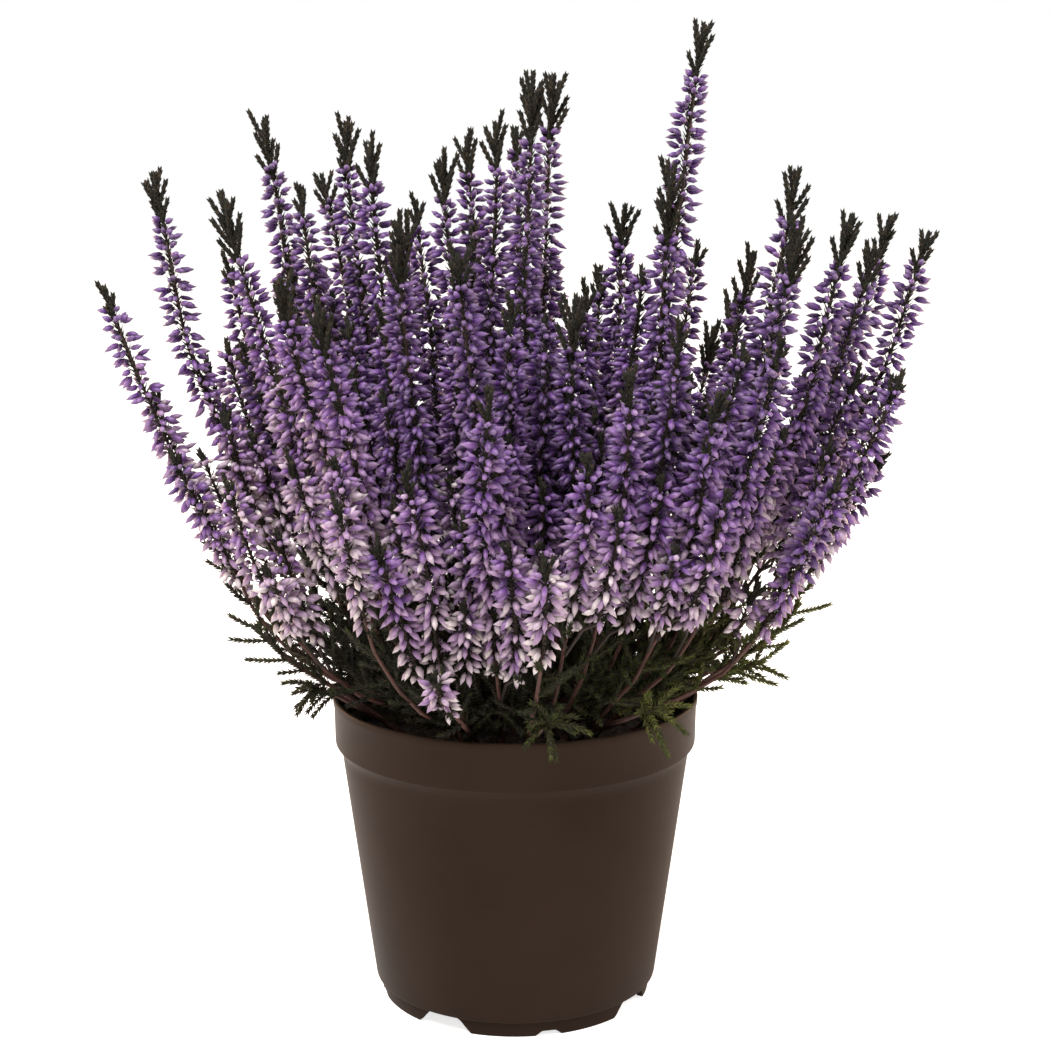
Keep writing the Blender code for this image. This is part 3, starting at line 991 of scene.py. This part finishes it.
def grow_sprig(growth, sprig, spike, draw):
    """A shorter side branch with flowers that leaves its spike low down."""
    axis = spike_axis(sprig, sprig["foot"], sprig["top"], draw)
    leaves_at = at(spike, sprig["foot"] - 12.0)
    between = (at(spike, sprig["foot"] - 5.0) + axis[0]) / 2
    path = np.vstack((leaves_at, between, axis))
    growth.sweep(path, np.linspace(0.6, 0.3, len(path)), 4, WOOD, 0.2)
    grow_flowers(growth, axis, sprig["foot"], sprig["top"] - sprig["tip"], paleness(sprig), draw)


print("growers of flowers, branches and sprigs ready")


# %% A spike from its foot to its tip
def leafy_branches(spike):
    """How many low branches fill the room beside a spike: more outside, and most at the bare left."""
    outer = from_middle(spike) > 0.55
    bare_left = -0.7 < spike["u"] < -0.2 and spike["v"] < -0.1
    return 1 + outer + 2 * bare_left


def grow_spike(growth, spike, trunk, draw):
    """One spike or leafy shoot. The trunk is the spike of the pair that stands in the soil."""
    top = spike["top"] - LAST_NEEDLES
    flower_top = spike["top"] - spike["tip"]
    flower_foot = min(spike["bloom"], flower_top - SHORTEST_FLOWERS)
    if trunk is spike:
        soil_line = at(spike, SOIL_LINE)
        foot = np.array((soil_line[0], soil_line[1], STEM_FOOT))
        lead = [foot, soil_line, at(spike, FORK_HEIGHT + 2.0)]
    else:
        lead = [at(trunk, FORK_HEIGHT)]
    axis = spike_axis(spike, BARE_UP_TO, top, draw)
    whole = np.vstack((lead, axis))
    heights = whole[:, 2]
    stations = (STEM_FOOT, 93, 101, BARE_UP_TO, flower_foot + 20, top)
    radii = np.interp(heights, stations, (1.25, 1.2, 0.85, 0.7, 0.4, 0.3))
    red = np.interp(heights, (flower_foot, flower_foot + 15), (0.75, 0.1))
    growth.sweep(whole, radii, 5, WOOD, red)
    green = greenness(spike)
    if spike["tip"] == 0:
        stem = whole[heights > 100.0]
        leafy_foot(growth, stem, 11, 11.5, green + 0.12, -0.3 if spike["v"] < -0.5 else 0.1, draw)
        needle_shoot(growth, stem, NEEDLES, 1.1, green, draw, 0.7)
        return
    lower = whole[(heights > 96.0) & (heights < flower_foot + 8.0)]
    leafy_foot(growth, lower, GREEN_SIDE_SHOOTS, 11.0, green, 0.2, draw)
    for _ in range(leafy_branches(spike)):
        grow_leafy_branch(growth, spike, trunk, draw)
    grow_flowers(growth, axis, flower_foot, flower_top, paleness(spike), draw)


print("low branches in all:", sum(leafy_branches(s) for s in spikes if s["tip"] > 0))


# %% Grow each stem and let it stand for its node
def new_object(name, data):
    """An object in the scene that shows the data."""
    made = bpy.data.objects.new(name, data)
    bpy.context.scene.collection.objects.link(made)
    return made


FIRST_STEM_SEED = 101
triangles = buds = 0
for number, pair in enumerate(stems, 1):
    draw = np.random.default_rng(FIRST_STEM_SEED + number - 1)
    growth = Growth()
    for spike in pair:
        grow_spike(growth, spike, pair[0], draw)
        for sprig in spike["sprigs"]:
            grow_sprig(growth, sprig, spike, draw)
    name = f"heather_stem_{number:02d}"
    mesh = growth.mesh(name + "_grown")
    for look in PLANT_LOOKS:
        mesh.materials.append(look)
    piece = new_object(name + "_grown", mesh)
    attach(piece, "root")
    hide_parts(name)
    triangles += len(mesh.polygons)
    buds += sum(len(looks) for looks in growth.looks if looks[0] == BUDS) // len(BUD[1])
print("stems grown:", len(stems), "triangles:", triangles, "buds:", buds)

# %% [markdown]
# ## The pot
# A nursery pot is pressed from thin plastic. Its rim is a band with a small step below it, and its
# foot is cut away in places so that water can leave. It could be drawn with a bevelled cylinder, but
# a profile on a Screw modifier gives every radius its own number, as the pot's drawing would.

# %% Pot sizes, in millimetres
POT_HEIGHT = 102.0
RIM_RADIUS = 60.0
RIM_BAND = 16.0
BAND_TAPER = 0.7
STEP_RADIUS = 56.9
STEP_FOOT = POT_HEIGHT - RIM_BAND - 4.0
WALL_FOOT = 5.6
WALL_FOOT_RADIUS = 46.8
FOOT_RADIUS = 44.7
FOOT_RING = 2.2
FLOOR_RADIUS = 42.3
WALL = 1.4
FLOOR_UNDERSIDE = 2.6
FLOOR_TOP = 4.2


# %% Helpers that turn a profile
def arc(centre, radius, start_deg, end_deg, steps):
    """Points on an arc in the (radius, height) plane."""
    turns = np.radians(np.linspace(start_deg, end_deg, steps))
    return [(centre[0] + radius * math.cos(t), centre[1] + radius * math.sin(t)) for t in turns]


def turned(name, profile, steps):
    """An object whose profile of (radius, height) turns round Z on a Screw modifier."""
    mesh = bpy.data.meshes.new(name)
    lines = [(i, i + 1) for i in range(len(profile) - 1)]
    mesh.from_pydata([(r * MM, 0, z * MM) for r, z in profile], lines, [])
    piece = new_object(name, mesh)
    screw = piece.modifiers.new("Turn", "SCREW")
    screw.steps = screw.render_steps = steps
    screw.use_merge_vertices = True
    screw.merge_threshold = 0.00001
    return piece


def applied(piece):
    """The piece with its modifiers made into its mesh."""
    graph = bpy.context.evaluated_depsgraph_get()
    mesh = bpy.data.meshes.new_from_object(piece.evaluated_get(graph))
    piece.modifiers.clear()
    piece.data = mesh
    return piece


print("an arc in four steps:", arc((0.0, 0.0), 1.0, 0, 90, 5))

# %% Turn the pot
POT_STEPS = 160
band_foot = POT_HEIGHT - RIM_BAND
half_wall = WALL / 2
rim = arc((RIM_RADIUS - half_wall, POT_HEIGHT - half_wall), half_wall, 180, 0, 9)
outside = [
    (RIM_RADIUS - 0.15, POT_HEIGHT - 2.6),
    (RIM_RADIUS - 0.45, POT_HEIGHT - 3.0),
    (RIM_RADIUS - BAND_TAPER + 0.05, band_foot + 1.0),
    *arc((RIM_RADIUS - BAND_TAPER - 0.6, band_foot + 0.6), 0.6, 0, -60, 4),
    (STEP_RADIUS + 0.9, STEP_FOOT + 2.2),
    (STEP_RADIUS + 0.3, STEP_FOOT + 1.0),
    (STEP_RADIUS, STEP_FOOT - 1.0),
    (WALL_FOOT_RADIUS + 0.1, WALL_FOOT + 0.8),
    *arc((WALL_FOOT_RADIUS - 0.6, WALL_FOOT + 0.5), 0.6, 0, -80, 5),
    (FOOT_RADIUS + 0.35, WALL_FOOT - 0.3),
    (FOOT_RADIUS + 0.1, 1.0),
    *arc((FOOT_RADIUS - 0.5, 0.5), 0.5, 0, -90, 4),
    (FOOT_RADIUS - FOOT_RING, 0.0),
    (FOOT_RADIUS - FOOT_RING - 0.4, FLOOR_UNDERSIDE),
    (0.0, FLOOR_UNDERSIDE),
]
inside = [
    (0.0, FLOOR_TOP),
    (FLOOR_RADIUS, FLOOR_TOP),
    (WALL_FOOT_RADIUS - WALL, WALL_FOOT + 2.4),
    (STEP_RADIUS - WALL, STEP_FOOT),
    (RIM_RADIUS - BAND_TAPER - WALL, band_foot),
]
pot = turned("nursery_pot", inside + rim + outside, POT_STEPS)
print("points on the pot's profile:", len(inside + rim + outside))

# %% [markdown]
# Water leaves through notches at the foot, four wide ones and four small ones between them. On the
# real pot they are part of the mould. Here wedges with rounded upper corners cut them with one
# Boolean, which is easier to place and to change than faces that are moved by hand.

# %% Notches: (width below, width above, height), in millimetres, and their turn from the front
WIDE_NOTCH = (20.0, 11.0, 5.2)
SMALL_NOTCH = (9.0, 4.5, 1.8)
WIDE_NOTCH_TURN_DEG = -31.0
SMALL_NOTCH_TURN_DEG = 14.0
NOTCHES_OF_EACH_SIZE = 4
NOTCH_DEPTH = 8.0


def notch_cutter(notch, turn_deg):
    """A wedge, narrower at its top, that cuts one notch. It reaches 2 mm below the foot."""
    low_width, high_width, height = notch
    slope = (low_width - high_width) / 2 / height
    shape = bmesh.new()
    bmesh.ops.create_cube(shape, size=2.0)
    for v in shape.verts:
        z = height if v.co.z > 0 else -2.0
        half = high_width / 2 + slope * (height - z)
        v.co = Vector((FOOT_RADIUS + v.co.x * NOTCH_DEPTH / 2, math.copysign(half, v.co.y), z)) * MM
    high_edges = [e for e in shape.edges if all(v.co.z > 0 for v in e.verts)]
    inwards = [e for e in high_edges if abs(e.verts[0].co.y - e.verts[1].co.y) < MM]
    rounding = height * 0.35 * MM
    bmesh.ops.bevel(shape, geom=inwards, offset=rounding, segments=4, profile=0.5, affect="EDGES")
    turned_to = Matrix.Rotation(math.radians(turn_deg - 90.0), 3, "Z")
    bmesh.ops.rotate(shape, verts=shape.verts, matrix=turned_to)
    cutter = bpy.data.meshes.new("notch")
    shape.to_mesh(cutter)
    shape.free()
    return bpy.data.objects.new("notch", cutter)


print("notches:", 2 * NOTCHES_OF_EACH_SIZE)

# %% Cut the notches
notches = bpy.data.collections.new("notch_cutters")
bpy.context.scene.collection.children.link(notches)
for i in range(NOTCHES_OF_EACH_SIZE):
    turn = i * 360.0 / NOTCHES_OF_EACH_SIZE
    notches.objects.link(notch_cutter(WIDE_NOTCH, turn + WIDE_NOTCH_TURN_DEG))
    notches.objects.link(notch_cutter(SMALL_NOTCH, turn + SMALL_NOTCH_TURN_DEG))
cut = pot.modifiers.new("Notches", "BOOLEAN")
cut.operand_type = "COLLECTION"
cut.collection = notches
cut.operation = "DIFFERENCE"
bpy.context.view_layer.update()
applied(pot)
for used in list(notches.objects):
    bpy.data.objects.remove(used, do_unlink=True)
bpy.data.collections.remove(notches)
pot.data.shade_smooth()
pot.data.set_sharp_from_angle(angle=math.radians(40))
print("pot triangles:", sum(len(p.vertices) - 2 for p in pot.data.polygons))

# %% [markdown]
# The plastic is dark brown, satin, and lightly marked: dust sits in its pores, and a few places are
# rubbed. Most of that is roughness and a very low bump, because the colour itself hardly changes.
# Its gloss is weak and warm, so a warm tint goes on the shader's own specular socket.


# %% Pot plastic
def pot_material():
    """Dark brown satin plastic, cloudy at the scale of a thumb and grained at that of dust."""
    made, tree, shader = start_material("pot_plastic_satin", 0.42)
    blotch = noise_at(tree, 22.0, 4.0)
    brown = ((0.3, (0.0200, 0.0122, 0.0086)), (0.7, (0.0275, 0.0172, 0.0124)))
    tree.links.new(ramp(tree, blotch, brown), shader.inputs["Base Color"])
    shader.inputs["Specular IOR Level"].default_value = 0.06
    shader.inputs["Specular Tint"].default_value = (1.0, 0.80, 0.64, 1)
    rough = tree.nodes.new("ShaderNodeMapRange")
    rough.inputs["To Min"].default_value = 0.36
    rough.inputs["To Max"].default_value = 0.50
    tree.links.new(blotch, rough.inputs["Value"])
    tree.links.new(rough.outputs["Result"], shader.inputs["Roughness"])
    bumped(tree, shader, noise_at(tree, 1400.0, 2.0), 0.00015, 0.25)
    return made


pot.data.materials.clear()
pot.data.materials.append(pot_material())
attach(pot, "root")
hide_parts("pot")
print("pot done")

# %% [markdown]
# ## The soil
# Potting soil is peat: nearly black and crumbly, with bits of bark. One turned body fills the pot,
# and noise makes its top lumpy. A texture alone would leave a flat disc, which shows from above.

# %% Root ball
SOIL_TOP = 91.5
SOIL_RINGS = 22
SOIL_GAP = 0.35
SETTLED = 0.0006
wall_gap = WALL + SOIL_GAP
top_rings = [(r, SOIL_TOP) for r in np.linspace(0.0, RIM_RADIUS - 3.6, SOIL_RINGS)]
ball = top_rings + [
    (RIM_RADIUS - BAND_TAPER - wall_gap, SOIL_TOP - 3.0),
    (STEP_RADIUS - 0.3 - wall_gap, STEP_FOOT),
    (WALL_FOOT_RADIUS - wall_gap, WALL_FOOT + 2.5),
    (FLOOR_RADIUS - SOIL_GAP, FLOOR_TOP + SOIL_GAP),
    (0.0, FLOOR_TOP + SOIL_GAP),
]
soil = applied(turned("potting_compost", ball, 96))
for v in soil.data.vertices:
    if v.co.z > (SOIL_TOP - 0.5) * MM:
        lump = noise.fractal(v.co * 160.0, 1.0, 2.0, 4) * 1.3 + noise.noise(v.co * 45.0) * 0.8
        v.co.z += lump * MM - SETTLED
soil.data.shade_smooth()
print("soil points:", len(soil.data.vertices))

# %% [markdown]
# Loose crumbs hide where the stems enter. They are the bud's spindle again, wide and short, strewn
# evenly over the disc: a square root keeps them from crowding in the middle.

# %% Crumbs on the soil
CRUMBS = 420
CRUMB_SEED = 5
crumb_draw = np.random.default_rng(CRUMB_SEED)
crumbs = Growth()
reach = (RIM_RADIUS - 5.0) * np.sqrt(crumb_draw.random(CRUMBS))
turn = crumb_draw.random(CRUMBS) * 2 * math.pi
lying = np.full(CRUMBS, SOIL_TOP - 1.0)
roots = np.stack((reach * np.cos(turn), reach * np.sin(turn), lying), axis=1)
aims = crumb_draw.normal(0, 1, (CRUMBS, 3)) + (0, 0, 0.4)
size = 1.2 + 2.4 * crumb_draw.random(CRUMBS)
crumbs.stamp(BUD, roots, aims, size, size * 0.42, 0, crumb_draw.random(CRUMBS))
crumb_piece = new_object("compost_crumbs", crumbs.mesh("compost_crumbs"))
print("crumbs:", CRUMBS)


# %% Soil material
def soil_material():
    """Peat: one noise for its colour and its bump, so that its pits are dark: partly its own mottling,
    partly painted shade.
    """
    made, tree, shader = start_material("potting_compost", 0.95)
    grain = noise_at(tree, 420.0, 8.0)
    # The dark end of this ramp falls in the pits of the bump: painted shade there, over the peat's own
    # mottling.
    peat = ((0.3, (0.008, 0.006, 0.004)), (0.55, (0.022, 0.015, 0.010)), (0.75, (0.060, 0.042, 0.028)))
    tree.links.new(ramp(tree, grain, peat), shader.inputs["Base Color"])
    bumped(tree, shader, grain, 0.0015, 0.9)
    return made


compost = soil_material()
for piece in (soil, crumb_piece):
    piece.data.materials.clear()
    piece.data.materials.append(compost)
    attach(piece, "root")
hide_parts("soil")
print("soil done")

# %% [markdown]
# ## Studio
# The picture is a plant on white. A white room would wash out the dark pot, so the floor and the
# world are bright only where the camera sees them, and give less light to the plant than they seem
# to. The Light Path node tells the two apart.


# %% What the camera sees, and what gives light
def light_and_seen(tree, light, seen):
    """Whether the camera looks, and a strength: one value for giving light, another for being seen."""
    path = tree.nodes.new("ShaderNodeLightPath")
    strength = tree.nodes.new("ShaderNodeMapRange")
    strength.inputs["To Min"].default_value = light
    strength.inputs["To Max"].default_value = seen
    tree.links.new(path.outputs["Is Camera Ray"], strength.inputs["Value"])
    return path.outputs["Is Camera Ray"], strength.outputs["Result"]


floor_mesh = bpy.data.meshes.new("floor")
floor_mesh.from_pydata([(-4, -4, 0), (4, -4, 0), (4, 4, 0), (-4, 4, 0)], [], [(0, 1, 2, 3)])
floor = new_object("floor", floor_mesh)
floor_look, floor_tree, floor_shader = start_material("pale_floor", 0.9)
floor_shader.inputs["Base Color"].default_value = (0.86, 0.86, 0.86, 1)
floor_shader.inputs["Specular IOR Level"].default_value = 0.1
floor_shader.inputs["Emission Color"].default_value = (1, 1, 1, 1)
_, floor_glow = light_and_seen(floor_tree, 0.12, 0.76)
floor_tree.links.new(floor_glow, floor_shader.inputs["Emission Strength"])
floor_mesh.materials.append(floor_look)
print("floor laid")

# %% World
WORLD_LIGHT, WORLD_SEEN = 0.42, 1.0
WARM, WHITE = (1.0, 0.86, 0.72), (1.0, 1.0, 1.0)
world = bpy.data.worlds.new("studio")
world.use_nodes = True
backdrop = world.node_tree.nodes["Background"]
camera_looks, strength = light_and_seen(world.node_tree, WORLD_LIGHT, WORLD_SEEN)
world.node_tree.links.new(strength, backdrop.inputs["Strength"])
shade = mixed(world.node_tree, camera_looks, WARM, WHITE)
world.node_tree.links.new(shade, backdrop.inputs["Color"])
bpy.context.scene.world = world
bpy.context.scene.view_settings.view_transform = "Standard"
print("world's light and what is seen of it:", WORLD_LIGHT, WORLD_SEEN)

# %% [markdown]
# Two large soft lights above give each bud a bright top and leave its underside dark. Two low warm
# ones, a little behind the plant, draw the light edges that a satin pot has on both sides.


# %% Lights: name, place in metres, size, power in watts, colour
def soft_light(name, where, size, power, colour=WHITE):
    """A square area light that looks at the middle of the bush."""
    lamp = bpy.data.lights.new(name, "AREA")
    lamp.size = size
    lamp.energy = power
    lamp.color = colour
    hung = new_object(name, lamp)
    hung.location = where
    aim = Vector((0, 0, 0.16)) - Vector(where)
    hung.rotation_euler = aim.to_track_quat("-Z", "Y").to_euler()


soft_light("key", (-0.45, -0.75, 1.6), 0.9, 37.0)
soft_light("fill", (1.2, -0.5, 1.2), 0.9, 10.0)
for side in (-1, 1):
    soft_light("edge", (side * 0.85, 0.45, 0.20), 0.7, 9.0, (1.0, 0.66, 0.43))

# %% [markdown]
# The camera is found from the pot. Its rim and its foot are circles, and how flat each ellipse looks
# in a picture says how far down the camera looks and how near it is.

# %% Camera
CAMERA_PLACE = (0.0032, -0.658, 0.289)
CAMERA_DOWN_DEG = 11.31
FOCAL_PIXELS = 2067.0
FRAME_PIXELS = 1050.0
camera_data = bpy.data.cameras.new("camera")
camera_data.sensor_width = 36.0
camera_data.lens = FOCAL_PIXELS / FRAME_PIXELS * camera_data.sensor_width
camera = new_object("camera", camera_data)
camera.location = CAMERA_PLACE
camera.rotation_euler = (math.radians(90.0 - CAMERA_DOWN_DEG), 0, 0)
bpy.context.scene.camera = camera
print("lens:", round(camera_data.lens, 2), "mm")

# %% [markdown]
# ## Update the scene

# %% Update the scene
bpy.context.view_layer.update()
